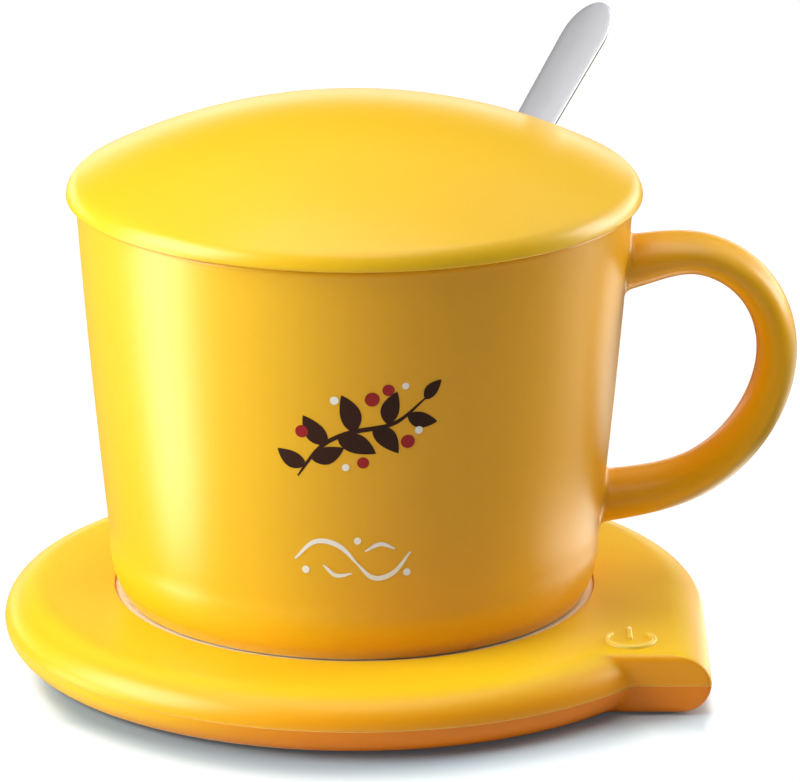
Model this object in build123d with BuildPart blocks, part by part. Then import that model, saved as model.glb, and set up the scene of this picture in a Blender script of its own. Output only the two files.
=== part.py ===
"""Electric mug warmer set: a slim heated base, a lidded ceramic mug that stands in its well, and a spoon.

Millimetres. Origin on the table under the middle of the well, +Z up, +X towards the mug's handle and
the base's touch tab, -Y towards the tab's flat end.
"""

from build123d import *
import math
import os

os.makedirs("parts", exist_ok=True)

# ---- warmer housing ----
base_radius = 66.7  # outermost edge, at the parting line
tab_reach = 42.7  # from the centre line to the tab's flat end
tab_lean = 1.0  # degrees that the tab's side leans in
foot_stand = 0.4  # foot ring below the housing
parting_height = 5.9
housing_top = 11.9
upper_edge_run = 7.6  # width of the rounded edge, seen from above
lower_edge_run = 6.0
shell_wall = 1.8
end_round = 1.4  # round along the tab's flat end

# ---- well, plate and heater ----
well_radius = 46.2
plate_depth = 1.3  # well rim down to the plate's face
plate_gap = 1.1  # plate edge to well wall, filled by the seal
flange_thick = 0.8
core_thick = 1.0  # plate's middle, below its flange
seal_thick = 0.4
seal_drop = 0.3  # seal's lip below the plate's face
ledge_thick = 1.4
ledge_width = 6.2
core_gap = 0.4
clamp_count = 3
clamp_azimuth = 30.0
stud_circle = 26.0
stud_radius = 2.4
element_inset = 6.0  # element's edge, in from the ledge
element_thick = 0.5
insulator_inset = 3.0
insulator_thick = 0.8
bracket_thick = 0.8
bracket_hub = 16.0
bracket_arm = 9.0
bracket_bore = 6.0
bracket_pad = 3.0
hole_gap = 0.3  # around studs and leads
clamp_screw_radius = 1.1
clamp_head_radius = 2.2
clamp_head_thick = 1.2
clamp_screw_end = 0.8  # plate left above the clamp screw's hole
tip_gap = 0.2  # below the end of a screw hole
seat_gap = 0.05

# ---- sensor and fuse ----
sensor_radius = 2.5
sensor_stand = 0.3  # below the insulator
sensor_round = 0.3
fuse_radius = 1.3
fuse_length = 9.0
fuse_lead_radius = 0.4
fuse_lead_length = 5.0
fuse_circle = 22.0
fuse_azimuth = 210.0

# ---- electronics ----
board_thick = 1.0
board_gap = 0.1  # above the foot ring's pad
control_size = (16.5, 19.0)
board_side_gap = 3.4  # control board to the tab's side wall, at the parting line
board_end_gap = 0.9  # control board to the tab's end wall
hole_inset = 2.4
board_screw_radius = 0.8
board_head_radius = 1.7
board_head_thick = 1.1
board_screw_length = 2.2
board_post_radius = 2.3
key_side_inset = 15.5  # touch key from the outermost edge
key_end_inset = 8.2  # touch key from the tab's flat end
key_spring_radius = 3.6
key_spring_wire = 0.35
key_spring_turns = 4
package_chamfer = 0.3
chip_size = (4.0, 5.0, 1.4)
chip_centre = (4.6, -1.0)  # this and the next two from the control board's middle
transistor_size = (5.2, 4.2, 1.8)
transistor_centre = (-0.1, 5.6)
connector_size = (3.6, 4.6, 3.2)
connector_centre = (-4.95, 2.7)
inlet_board_size = (16.0, 7.0)
inlet_board_inset = 4.7  # its rear edge, in from the outermost edge
inlet_post_spacing = 10.0
socket_rib_size = (8.0, 1.6)
socket_width = 8.94
socket_height = 3.26
socket_length = 7.35
socket_wall = 0.3
socket_setback = 0.7  # behind the housing's outermost edge
socket_gap = 0.2  # housing's hole around the socket
tongue_width = 6.7
tongue_thick = 0.7
tongue_length = 5.2
lead_radius = 0.6
lead_bend = 2.0
power_lead_insets = (6.3, 4.7)  # their circles, in from the outermost edge
heater_lead_landings = (-3.7, -7.9)  # along the board's edge, from its middle
heater_lead_inset = 5.0  # where they leave the element, in from its edge
lead_landing = 1.2  # onto the board's edge
sensor_lead_spread = 1.6
sensor_lead_entry = 1.5  # straight into the connector

# ---- housing screws and foot ring ----
foot_ring_offset = 3.4  # from the well's wall out to the ring's middle
foot_ring_width = 8.0
foot_ring_thick = 1.6
foot_ring_gap = 0.1
foot_pad_thick = 1.6  # floor above the ring's groove
housing_screw_azimuths = (20.0, 140.0, 260.0)
housing_screw_radius = 1.25
housing_head_radius = 2.3
housing_head_thick = 1.1
housing_boss_radius = 3.0
housing_screw_end = 1.0  # boss left above the screw's tip
screw_gap = 0.05

# ---- mug: heights are above its foot ----
mug_height = 77.7
mug_rim_radius = 52.2
mug_waist = (4.6, 34.9)  # a point on the side: outward from the glaze's edge, and height
mug_low = (2.3, 11.4)  # where the side starts to round in
mug_turn = (1.5, 4.6)
mug_well_gap = 2.0  # glaze's lower edge to the well's wall
mug_foot_inset = 1.0
mug_foot_height = 0.9
mug_foot_width = 6.5
mug_wall = 4.0
mug_floor = 5.9
mug_corner = 10.0
mug_corner_sweep = 84.0  # degrees that the inner corner turns, up into the wall
lip_round = 1.2
handle_half_width = 6.5
handle_drop = 13.7  # rim down to the strap's upper end
handle_rise = 17.8  # foot up to the strap's lower end
handle_depth = 2.4  # strap's ends inside the side
handle_reaches = (15.7, 26.8, 30.9, 27.8, 16.2)  # between the ends, outward from the waist
handle_levels = (1.045, 0.905, 0.652, 0.372, 0.108)  # the same points' share of the way up between the ends
handle_leaves = ((1, 0.12), (-1, -0.16))  # the strap's directions at its two ends
handle_thicks = (5.4, 3.8, 3.75, 3.8, 3.9, 4.1, 4.9)  # half the strap's thickness, end to end
handle_root = 2.5  # fillet where the handle meets the side

# ---- lid ----
lid_overhang = 1.8  # past the mug's rim
lid_rise = 16.8
lid_shoulder = 4.4
lid_wall = 4.2
spigot_gap = 0.8  # spigot to the mug's mouth
spigot_depth = 4.0
spigot_width = 3.8
notch_width = 12.0
notch_depth = 11.0  # from the lid's edge towards its middle

# ---- spoon ----
spoon_azimuth = 46.6
spoon_lean = 44.1  # degrees from upright
spoon_length = 132.0
spoon_thick = 1.8
spoon_edge_round = 0.45
spoon_rim_gap = 0.45
spoon_floor_gap = 0.5
spoon_end_width = 10.2
spoon_end_round = 10.0  # length of the rounded end
spoon_rim_width = 9.3
spoon_neck_width = 4.6
spoon_neck_lap = 4.6  # neck into the bowl
bowl_length = 42.0
bowl_width = 29.0
bowl_depth = 6.5
bowl_wall = 1.0

# ---- levels and places worked out from the sizes above ----
housing_bottom = foot_stand
floor_top = housing_bottom + shell_wall
ceiling = housing_top - shell_wall
plate_top = housing_top - plate_depth
flange_bottom = plate_top - flange_thick
core_bottom = flange_bottom - core_thick
ledge_top = flange_bottom - seal_thick
ledge_bottom = ledge_top - ledge_thick
ledge_radius = well_radius - ledge_width
collar_radius = well_radius + shell_wall
plate_radius = well_radius - plate_gap
element_bottom = core_bottom - element_thick
insulator_bottom = element_bottom - insulator_thick
sensor_bottom = insulator_bottom - sensor_stand
bracket_bottom = insulator_bottom - bracket_thick
foot_ring_radius = well_radius + foot_ring_offset
insulator_radius = ledge_radius - insulator_inset
element_radius = ledge_radius - element_inset
heater_lead_start = element_radius - heater_lead_inset
foot_groove_top = foot_ring_thick
foot_pad_top = foot_groove_top + foot_pad_thick
board_bottom = foot_pad_top + board_gap
board_top = board_bottom + board_thick
lead_height = board_top + lead_radius
socket_middle = board_top + socket_height / 2
socket_front = base_radius - socket_setback
socket_hole_depth = max(upper_edge_run, lower_edge_run)
control_middle = Vector(
    base_radius - shell_wall - board_side_gap - control_size[0] / 2,
    control_size[1] / 2 + board_end_gap + shell_wall - tab_reach,
)
key_middle = (base_radius - key_side_inset, key_end_inset - tab_reach)
board_inner_edge = control_middle.X - control_size[0] / 2
heater_lead_azimuths = [
    math.degrees(math.atan2(control_middle.Y + landing, board_inner_edge + lead_landing))
    for landing in heater_lead_landings
]
inlet_board_middle = base_radius - inlet_board_inset - inlet_board_size[1] / 2
mug_edge_radius = well_radius - mug_well_gap
mug_foot_radius = mug_edge_radius - mug_foot_inset
mug_rim_height = plate_top + mug_height
mug_mouth_radius = mug_rim_radius - mug_wall
lid_radius = mug_rim_radius + lid_overhang
mug_floor_top = plate_top + mug_floor
tab_plane = Plane.XZ.rotated((0, 0, -tab_lean))
turning_plane = Plane(origin=(0, 0, 0), x_dir=(-1, 0, 0), z_dir=(0, 1, 0))
UP = (Align.CENTER, Align.CENTER, Align.MIN)
DOWN = (Align.CENTER, Align.CENTER, Align.MAX)


def edge_section(plane, radius, run, level):
    """Region from the axis to a quarter-ellipse edge, between the parting line and a level."""
    sweep_angle = math.copysign(90, level - parting_height)
    with BuildSketch(plane) as section:
        with BuildLine():
            Polyline((radius, parting_height), (0, parting_height), (0, level), (radius - run, level))
            EllipticalCenterArc(
                (radius - run, parting_height),
                run,
                abs(level - parting_height),
                start_angle=0,
                arc_size=sweep_angle,
            )
        make_face()
    return section.sketch


def polar(radius, azimuths, height=0.0):
    """Points on a circle round the Z axis."""
    return [
        (radius * math.cos(math.radians(a)), radius * math.sin(math.radians(a)), height) for a in azimuths
    ]


def finish(builder, name):
    """Label a finished piece and write it."""
    builder.part.label = name
    export_step(builder.part, f"parts/{name}.step")


stud_places = PolarLocations(stud_circle, clamp_count, start_angle=clamp_azimuth)
inlet_post_places = [Vector(side * inlet_post_spacing / 2, inlet_board_middle) for side in (-1, 1)]
control_screw_reach = Vector(control_size[0] / 2 - hole_inset, hole_inset - control_size[1] / 2)
control_screw_places = [control_middle + control_screw_reach * side for side in (-1, 1)]

with BuildSketch(Plane.XZ.offset(-base_radius)) as socket_hole:
    with Locations((0, socket_middle)):
        SlotOverall(socket_width + 2 * socket_gap, socket_height + 2 * socket_gap)

# ---- top housing: dished disc with the touch tab, well collar and ledge ----
with BuildPart() as top_housing:
    extrude(edge_section(tab_plane, base_radius, upper_edge_run, housing_top), amount=base_radius)
    split(bisect_by=Plane.XZ.offset(tab_reach), keep=Keep.BOTTOM)
    fillet(top_housing.faces().sort_by(Axis.Y)[0].edges().sort_by(Axis.Z)[-1], radius=end_round)
    revolve(edge_section(Plane.XZ, base_radius, upper_edge_run, housing_top), axis=Axis.Z)
    inner_size = (base_radius - shell_wall, upper_edge_run - shell_wall, ceiling)
    revolve(edge_section(Plane.XZ, *inner_size), axis=Axis.Z, mode=Mode.SUBTRACT)
    extrude(edge_section(tab_plane, *inner_size), amount=tab_reach - shell_wall, mode=Mode.SUBTRACT)
    with BuildSketch(Plane.XY.offset(ledge_bottom)):
        Circle(collar_radius)
    extrude(amount=housing_top - ledge_bottom)
    with BuildSketch(Plane.XY.offset(ledge_bottom)):
        Circle(ledge_radius)
    extrude(amount=ledge_thick, mode=Mode.SUBTRACT)
    with BuildSketch(Plane.XY.offset(ledge_top)):
        Circle(well_radius)
    extrude(amount=housing_top - ledge_top, mode=Mode.SUBTRACT)
    with Locations(*polar(foot_ring_radius, housing_screw_azimuths, parting_height)):
        Cylinder(housing_boss_radius, ceiling - parting_height, align=UP)
        Cylinder(
            housing_screw_radius + screw_gap,
            ceiling - parting_height - housing_screw_end,
            align=UP,
            mode=Mode.SUBTRACT,
        )
    with Locations((0, inlet_board_middle, socket_middle + socket_height / 2)):
        Box(*socket_rib_size, ceiling - socket_middle - socket_height / 2, align=UP)
    extrude(socket_hole.sketch, amount=socket_hole_depth, mode=Mode.SUBTRACT)
finish(top_housing, "top_housing")

# ---- bottom housing: lower half of the rounded edge, floor, bosses, board posts and foot ring groove ----
with BuildPart() as bottom_housing:
    extrude(edge_section(tab_plane, base_radius, lower_edge_run, housing_bottom), amount=base_radius)
    split(bisect_by=Plane.XZ.offset(tab_reach), keep=Keep.BOTTOM)
    fillet(bottom_housing.faces().sort_by(Axis.Y)[0].edges().sort_by(Axis.Z)[0], radius=end_round)
    revolve(edge_section(Plane.XZ, base_radius, lower_edge_run, housing_bottom), axis=Axis.Z)
    floor_size = (base_radius - shell_wall, lower_edge_run - shell_wall, floor_top)
    revolve(edge_section(Plane.XZ, *floor_size), axis=Axis.Z, mode=Mode.SUBTRACT)
    extrude(edge_section(tab_plane, *floor_size), amount=tab_reach - shell_wall, mode=Mode.SUBTRACT)
    with BuildSketch(Plane.XY.offset(housing_bottom)):
        Circle(foot_ring_radius + foot_ring_width / 2 + shell_wall)
        Circle(foot_ring_radius - foot_ring_width / 2 - shell_wall, mode=Mode.SUBTRACT)
    extrude(amount=foot_pad_top - housing_bottom)
    with BuildSketch(Plane.XY.offset(housing_bottom)):
        Circle(foot_ring_radius + foot_ring_width / 2 + foot_ring_gap)
        Circle(foot_ring_radius - foot_ring_width / 2 - foot_ring_gap, mode=Mode.SUBTRACT)
    extrude(amount=foot_groove_top - housing_bottom, mode=Mode.SUBTRACT)
    with Locations(*polar(foot_ring_radius, housing_screw_azimuths, foot_groove_top)):
        Cylinder(housing_boss_radius, parting_height - foot_groove_top, align=UP)
        Cylinder(
            housing_screw_radius + hole_gap, parting_height - foot_groove_top, align=UP, mode=Mode.SUBTRACT
        )
        Cylinder(
            housing_head_radius + hole_gap, housing_head_thick + foot_ring_gap, align=UP, mode=Mode.SUBTRACT
        )
    with Locations(*[place + Vector(0, 0, floor_top) for place in control_screw_places + inlet_post_places]):
        Cylinder(board_post_radius, board_bottom - floor_top, align=UP)
    with Locations(*[place + Vector(0, 0, board_bottom) for place in control_screw_places]):
        Cylinder(
            board_screw_radius + screw_gap,
            board_screw_length - board_thick + tip_gap,
            align=DOWN,
            mode=Mode.SUBTRACT,
        )
    extrude(socket_hole.sketch, amount=socket_hole_depth, mode=Mode.SUBTRACT)
finish(bottom_housing, "bottom_housing")

with BuildPart() as foot_ring:
    with BuildSketch():
        Circle(foot_ring_radius + foot_ring_width / 2)
        Circle(foot_ring_radius - foot_ring_width / 2, mode=Mode.SUBTRACT)
    extrude(amount=foot_ring_thick)
finish(foot_ring, "foot_ring")

screw_seat = foot_groove_top + foot_ring_gap + housing_head_thick
with BuildPart() as housing_screws:
    with Locations(*polar(foot_ring_radius, housing_screw_azimuths, screw_seat)):
        Cylinder(housing_head_radius, housing_head_thick, align=DOWN)
        Cylinder(housing_screw_radius, ceiling - housing_screw_end - tip_gap - screw_seat, align=UP)
finish(housing_screws, "housing_screws")

# ---- heating plate: flanged disc with three threaded studs under it ----
with BuildPart() as heating_plate:
    with BuildSketch(Plane.XY.offset(flange_bottom)):
        Circle(plate_radius)
    extrude(amount=flange_thick)
    fillet(heating_plate.faces().sort_by(Axis.Z)[-1].edges(), radius=flange_thick / 3)
    with BuildSketch(Plane.XY.offset(core_bottom)):
        Circle(ledge_radius - core_gap)
    extrude(amount=core_thick)
    with BuildSketch(Plane.XY.offset(insulator_bottom)):
        with stud_places:
            Circle(stud_radius)
    extrude(amount=core_bottom - insulator_bottom)
    with BuildSketch(Plane.XY.offset(insulator_bottom)):
        with stud_places:
            Circle(clamp_screw_radius + screw_gap)
    extrude(amount=plate_top - clamp_screw_end - insulator_bottom, mode=Mode.SUBTRACT)
finish(heating_plate, "heating_plate")

with BuildPart() as plate_seal:
    with BuildSketch(Plane.XY.offset(ledge_top)):
        Circle(well_radius - seat_gap)
        Circle(ledge_radius + seat_gap, mode=Mode.SUBTRACT)
    extrude(amount=seal_thick)
    with BuildSketch(Plane.XY.offset(ledge_top)):
        Circle(well_radius - seat_gap)
        Circle(plate_radius + seat_gap, mode=Mode.SUBTRACT)
    extrude(amount=plate_top - seal_drop - ledge_top)
finish(plate_seal, "plate_seal")

# ---- heater pack clamped under the plate ----
with BuildPart() as heater_element:
    with BuildSketch(Plane.XY.offset(element_bottom)):
        Circle(element_radius)
        Circle(sensor_radius + hole_gap, mode=Mode.SUBTRACT)
        with stud_places:
            Circle(stud_radius + hole_gap, mode=Mode.SUBTRACT)
    extrude(amount=element_thick)
finish(heater_element, "heater_element")

lead_slot_plane = Plane.XY.offset(insulator_bottom).rotated((0, 0, sum(heater_lead_azimuths) / 2))
lead_slot_width = heater_lead_start * math.radians(heater_lead_azimuths[0] - heater_lead_azimuths[1])
with BuildPart() as heater_insulator:
    with BuildSketch(Plane.XY.offset(insulator_bottom)):
        Circle(insulator_radius)
        Circle(sensor_radius + hole_gap, mode=Mode.SUBTRACT)
        with stud_places:
            Circle(stud_radius + hole_gap, mode=Mode.SUBTRACT)
    extrude(amount=insulator_thick)
    with BuildSketch(lead_slot_plane):
        with Locations((heater_lead_start + lead_bend, 0)):
            SlotOverall(
                lead_slot_width + 2 * (lead_radius + lead_bend),
                lead_slot_width + 2 * (lead_radius + hole_gap),
            )
    extrude(amount=insulator_thick, mode=Mode.SUBTRACT)
finish(heater_insulator, "heater_insulator")

# ---- clamp bracket: stamped ring with three arms joggled up under the ledge ----
with BuildPart() as heater_bracket:
    with BuildSketch(Plane.XY.offset(bracket_bottom)):
        Circle(bracket_hub)
        with PolarLocations(ledge_radius / 2, clamp_count, start_angle=clamp_azimuth):
            Rectangle(ledge_radius, bracket_arm)
        Circle(bracket_bore, mode=Mode.SUBTRACT)
        with stud_places:
            Circle(clamp_screw_radius + hole_gap / 2, mode=Mode.SUBTRACT)
    extrude(amount=bracket_thick)
    with BuildSketch(Plane.XY.offset(ledge_bottom - bracket_thick)):
        pad_circle = ledge_radius + bracket_pad / 2 - core_gap
        with PolarLocations(pad_circle, clamp_count, start_angle=clamp_azimuth):
            Rectangle(bracket_pad + 2 * core_gap, bracket_arm)
    extrude(amount=bracket_thick)
finish(heater_bracket, "heater_bracket")

with BuildPart() as bracket_screws:
    with BuildSketch(Plane.XY.offset(bracket_bottom - clamp_head_thick)):
        with stud_places:
            Circle(clamp_head_radius)
    extrude(amount=clamp_head_thick)
    fillet(bracket_screws.faces().group_by(Axis.Z)[0].edges(), radius=clamp_head_thick / 3)
    with BuildSketch(Plane.XY.offset(bracket_bottom)):
        with stud_places:
            Circle(clamp_screw_radius)
    extrude(amount=plate_top - clamp_screw_end - tip_gap - bracket_bottom)
finish(bracket_screws, "bracket_screws")

with BuildPart() as temperature_sensor:
    with BuildSketch(Plane.XY.offset(core_bottom)):
        Circle(sensor_radius)
    extrude(amount=sensor_bottom - core_bottom)
    fillet(temperature_sensor.faces().sort_by(Axis.Z)[0].edges(), radius=sensor_round)
finish(temperature_sensor, "temperature_sensor")

fuse_plane = Plane(
    origin=polar(fuse_circle, [fuse_azimuth], insulator_bottom - fuse_radius - seat_gap)[0],
    z_dir=(-math.sin(math.radians(fuse_azimuth)), math.cos(math.radians(fuse_azimuth)), 0),
)
with BuildPart() as thermal_fuse:
    with BuildSketch(fuse_plane):
        Circle(fuse_radius)
    extrude(amount=fuse_length / 2, both=True)
    fillet(thermal_fuse.edges(), radius=fuse_radius / 3)
    with BuildSketch(fuse_plane):
        Circle(fuse_lead_radius)
    extrude(amount=fuse_length / 2 + fuse_lead_length, both=True)
finish(thermal_fuse, "thermal_fuse")

# ---- electronics in the tab ----
with BuildPart() as control_board:
    with BuildSketch(Plane.XY.offset(board_bottom)):
        with Locations(control_middle):
            RectangleRounded(*control_size, radius=hole_inset / 2)
        with Locations(*control_screw_places):
            Circle(board_screw_radius + hole_gap, mode=Mode.SUBTRACT)
    extrude(amount=board_thick)
finish(control_board, "control_board")

for name, centre, size in (
    ("controller_chip", chip_centre, chip_size),
    ("power_transistor", transistor_centre, transistor_size),
    ("sensor_connector", connector_centre, connector_size),
):
    with BuildPart() as package:
        with BuildSketch(Plane.XY.offset(board_top)):
            with Locations(control_middle + Vector(centre)):
                Rectangle(size[0], size[1])
        extrude(amount=size[2])
        chamfer(package.faces().sort_by(Axis.Z)[-1].edges(), length=package_chamfer)
    finish(package, name)

with BuildPart() as board_screws:
    with Locations(*[place + Vector(0, 0, board_top) for place in control_screw_places]):
        Cylinder(board_head_radius, board_head_thick, align=UP)
        Cylinder(board_screw_radius, board_screw_length, align=DOWN)
finish(board_screws, "board_screws")

key_spring_rise = ceiling - board_top - 2 * key_spring_wire
with BuildPart() as touch_spring:
    with BuildLine(Plane((*key_middle, board_top + key_spring_wire))) as coil:
        Helix(key_spring_rise / key_spring_turns, key_spring_rise, key_spring_radius)
    with BuildSketch(Plane(origin=coil.line @ 0, z_dir=coil.line % 0)):
        Circle(key_spring_wire)
    sweep(path=coil.line, is_frenet=True)
finish(touch_spring, "touch_spring")

# ---- power socket at the rear, on its own small board ----
with BuildPart() as inlet_board:
    with BuildSketch(Plane.XY.offset(board_bottom)):
        with Locations((0, inlet_board_middle)):
            Rectangle(*inlet_board_size)
    extrude(amount=board_thick)
finish(inlet_board, "inlet_board")

socket_plane = Plane.XZ.offset(-socket_front)
with BuildPart() as inlet_socket:
    with BuildSketch(socket_plane):
        with Locations((0, socket_middle)):
            SlotOverall(socket_width, socket_height)
            SlotOverall(socket_width - 2 * socket_wall, socket_height - 2 * socket_wall, mode=Mode.SUBTRACT)
    extrude(amount=socket_length)
finish(inlet_socket, "inlet_socket")

with BuildPart() as socket_tongue:
    with BuildSketch(socket_plane.offset(tongue_length)):
        with Locations((0, socket_middle)):
            SlotOverall(
                socket_width - 2 * socket_wall - 2 * seat_gap, socket_height - 2 * socket_wall - 2 * seat_gap
            )
    extrude(amount=socket_length - tongue_length)
    with BuildSketch(socket_plane.offset(tongue_length)):
        with Locations((0, socket_middle)):
            Rectangle(tongue_width, tongue_thick)
    extrude(amount=-tongue_length)
finish(socket_tongue, "socket_tongue")

# ---- internal leads ----
inlet_landing = inlet_board_size[0] / 2 - lead_landing
control_landing = control_middle.Y + control_size[1] / 2 - lead_landing
with BuildPart() as power_leads:
    for inset in power_lead_insets:
        circle = base_radius - inset
        start_angle = math.degrees(math.acos(inlet_landing / circle))
        end_angle = math.degrees(math.asin(control_landing / circle))
        with BuildLine(Plane.XY.offset(lead_height)) as route:
            CenterArc((0, 0), circle, start_angle, end_angle - start_angle)
        with BuildSketch(Plane(origin=route.line @ 0, z_dir=route.line % 0)):
            Circle(lead_radius)
        sweep(path=route.line)
finish(power_leads, "power_leads")

with BuildPart() as heater_leads:
    for azimuth in heater_lead_azimuths:
        landing = (board_inner_edge + lead_landing) / math.cos(math.radians(azimuth))
        start = polar(heater_lead_start, [azimuth], element_bottom)[0]
        turn = polar(heater_lead_start, [azimuth], lead_height)[0]
        end = polar(landing, [azimuth], lead_height)[0]
        with BuildLine() as route:
            FilletPolyline(start, turn, end, radius=lead_bend)
        with BuildSketch(Plane(origin=route.line @ 0, z_dir=route.line % 0)):
            Circle(lead_radius)
        sweep(path=route.line)
finish(heater_leads, "heater_leads")

connector_side = control_middle.X + connector_centre[0] - connector_size[0] / 2 - seat_gap
with BuildPart() as sensor_leads:
    for side in (-1, 1):
        beside = side * sensor_lead_spread / 2
        entry = control_middle.Y + connector_centre[1] + beside
        with BuildLine() as route:
            FilletPolyline(
                (0, beside, sensor_bottom),
                (0, beside, lead_height),
                (connector_side - sensor_lead_entry, entry, lead_height),
                (connector_side, entry, lead_height),
                radius=lead_bend,
            )
        with BuildSketch(Plane(origin=route.line @ 0, z_dir=route.line % 0)):
            Circle(lead_radius)
        sweep(path=route.line)
finish(sensor_leads, "sensor_leads")

# ---- mug: turned wall with an unglazed foot, and a handle lofted through elliptical sections ----
foot_edge = plate_top + mug_foot_height
low, turn, waist = [(mug_edge_radius + out, plate_top + up) for out, up in (mug_low, mug_turn, mug_waist)]
rim = (mug_rim_radius, mug_rim_height)
upper_end = mug_rim_height - handle_drop
lower_end = plate_top + handle_rise
upper_side = waist[0] + (rim[0] - waist[0]) * (upper_end - waist[1]) / (rim[1] - waist[1])
lower_side = low[0] + (waist[0] - low[0]) * (lower_end - low[1]) / (waist[1] - low[1])
handle_path = [
    (upper_side - handle_depth, upper_end),
    *[
        (waist[0] + reach, lower_end + level * (upper_end - lower_end))
        for reach, level in zip(handle_reaches, handle_levels)
    ],
    (lower_side - handle_depth, lower_end),
]
inner_low = low[0] - mug_wall
with BuildPart() as mug:
    with BuildSketch(turning_plane):
        with BuildLine():
            Polyline(
                (0, foot_edge),
                (mug_foot_radius - mug_foot_width, foot_edge),
                (mug_foot_radius - mug_foot_width, plate_top),
                (mug_foot_radius, plate_top),
                (mug_foot_radius, foot_edge),
                (mug_edge_radius, foot_edge),
            )
            ThreePointArc((mug_edge_radius, foot_edge), turn, low)
            ThreePointArc(low, waist, rim)
            Polyline(rim, (0, mug_rim_height), (0, foot_edge))
        make_face()
    revolve(axis=Axis.Z)
    fillet(mug.edges().group_by(Axis.Z)[-1], radius=lip_round)
    with BuildLine() as handle_line:
        Spline(*[(x, 0, z) for x, z in handle_path], tangents=[(x, 0, z) for x, z in handle_leaves])
    for (x, z), thick in zip(handle_path, handle_thicks):
        along = handle_line.edge() % handle_line.edge().param_at_point((x, 0, z))
        with BuildSketch(Plane(origin=(x, 0, z), x_dir=(0, 1, 0), z_dir=along)):
            Ellipse(handle_half_width, thick)
    loft()
    roots = mug.edges(Select.LAST).filter_by(GeomType.BSPLINE).sort_by(Axis.X)[:2]
    fillet(roots, radius=handle_root)
    with BuildSketch(turning_plane):
        with BuildLine():
            Polyline(
                (mug_mouth_radius, mug_rim_height),
                (0, mug_rim_height),
                (0, mug_floor_top),
                (inner_low - mug_corner, mug_floor_top),
            )
            corner = JernArc((inner_low - mug_corner, mug_floor_top), (1, 0), mug_corner, mug_corner_sweep)
            Spline(corner @ 1, (waist[0] - mug_wall, waist[1]), (mug_mouth_radius, mug_rim_height))
        make_face()
    revolve(axis=Axis.Z, mode=Mode.SUBTRACT)
    fillet(mug.faces().sort_by(Axis.Z)[-1].edges().sort_by(SortBy.LENGTH)[0], radius=lip_round)
finish(mug, "mug")

# ---- lid: domed, with a spigot inside the mug's mouth and a notch for the spoon ----
shoulder_middle = lid_radius - lid_shoulder
dome_radius = (shoulder_middle**2 + lid_rise**2 - lid_shoulder**2) / (2 * (lid_rise - lid_shoulder))
dome_middle = lid_rise - dome_radius
shoulder_angle = math.degrees(math.atan2(shoulder_middle, -dome_middle))
spigot_radius = mug_mouth_radius - spigot_gap
with BuildPart() as lid:
    with BuildSketch(Plane(origin=(0, 0, mug_rim_height), x_dir=(-1, 0, 0), z_dir=(0, 1, 0))):
        with BuildLine():
            CenterArc((0, dome_middle), dome_radius, 90, -shoulder_angle)
            CenterArc((shoulder_middle, 0), lid_shoulder, 90 - shoulder_angle, shoulder_angle - 90)
            Polyline(
                (lid_radius, 0),
                (spigot_radius, 0),
                (spigot_radius, -spigot_depth),
                (spigot_radius - spigot_width, -spigot_depth),
                (spigot_radius - spigot_width, 0),
            )
            RadiusArc((spigot_radius - spigot_width, 0), (0, lid_rise - lid_wall), -dome_radius + lid_wall)
            Line((0, lid_rise - lid_wall), (0, lid_rise))
        make_face()
    revolve(axis=Axis.Z)
    with BuildSketch(Plane.XY.offset(mug_rim_height - spigot_depth).rotated((0, 0, spoon_azimuth))):
        with Locations((lid_radius, 0)):
            Rectangle(2 * notch_depth, notch_width)
        with Locations((lid_radius - notch_depth, 0)):
            Circle(notch_width / 2)
    extrude(amount=lid_rise + spigot_depth, mode=Mode.SUBTRACT)
finish(lid, "lid")

# ---- spoon: leaning out of the mug through the lid's notch, its bowl near the mug's floor ----
lean = math.radians(spoon_lean)
azimuth = math.radians(spoon_azimuth)
outward = Vector(math.cos(azimuth), math.sin(azimuth), 0)
rim_offset = lip_round + spoon_rim_gap + spoon_thick / 2
spoon_rim_radius = mug_mouth_radius + lip_round - rim_offset * math.cos(lean)
spoon_rim_height = mug_rim_height - lip_round + rim_offset * math.sin(lean)
bowl_drop = math.hypot(bowl_length / 2 * math.cos(lean), bowl_depth * math.sin(lean))
bowl_height = mug_floor_top + spoon_floor_gap + bowl_drop
bowl_middle = (bowl_height - spoon_rim_height) / math.cos(lean)
bowl_tip = bowl_middle - bowl_length / 2
spoon_top = bowl_tip + spoon_length
spoon_plane = Plane(
    origin=outward * spoon_rim_radius + Vector(0, 0, spoon_rim_height),
    x_dir=outward.cross(Vector(0, 0, 1)),
    z_dir=outward * -math.cos(lean) + Vector(0, 0, math.sin(lean)),
)
with BuildPart() as bowl_blank:
    Sphere(bowl_width / 2)
    scale(by=(1, bowl_length / bowl_width, 2 * bowl_depth / bowl_width))
hollow_length, hollow_width, hollow_depth = (
    bowl_length - 2 * bowl_wall,
    bowl_width - 2 * bowl_wall,
    bowl_depth - bowl_wall,
)
with BuildPart() as bowl_hollow:
    Sphere(hollow_width / 2)
    scale(by=(1, hollow_length / hollow_width, 2 * hollow_depth / hollow_width))
with BuildPart() as spoon:
    with BuildSketch(spoon_plane.offset(-spoon_thick / 2)):
        with BuildLine():
            Polyline(
                (0, bowl_tip + bowl_length - spoon_neck_lap),
                (spoon_neck_width / 2, bowl_tip + bowl_length - spoon_neck_lap),
                (spoon_rim_width / 2, 0),
                (spoon_end_width / 2, spoon_top - spoon_end_round),
            )
            EllipticalCenterArc(
                (0, spoon_top - spoon_end_round), spoon_end_width / 2, spoon_end_round, arc_size=90
            )
            mirror(about=Plane.YZ)
        make_face()
    extrude(amount=spoon_thick)
    fillet(spoon.edges().filter_by(spoon_plane), radius=spoon_edge_round)
    with Locations(spoon_plane.location * Location((0, bowl_middle, 0))):
        add(bowl_blank.part.split(Plane.XY, Keep.BOTTOM))
        add(bowl_hollow.part, mode=Mode.SUBTRACT)
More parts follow.
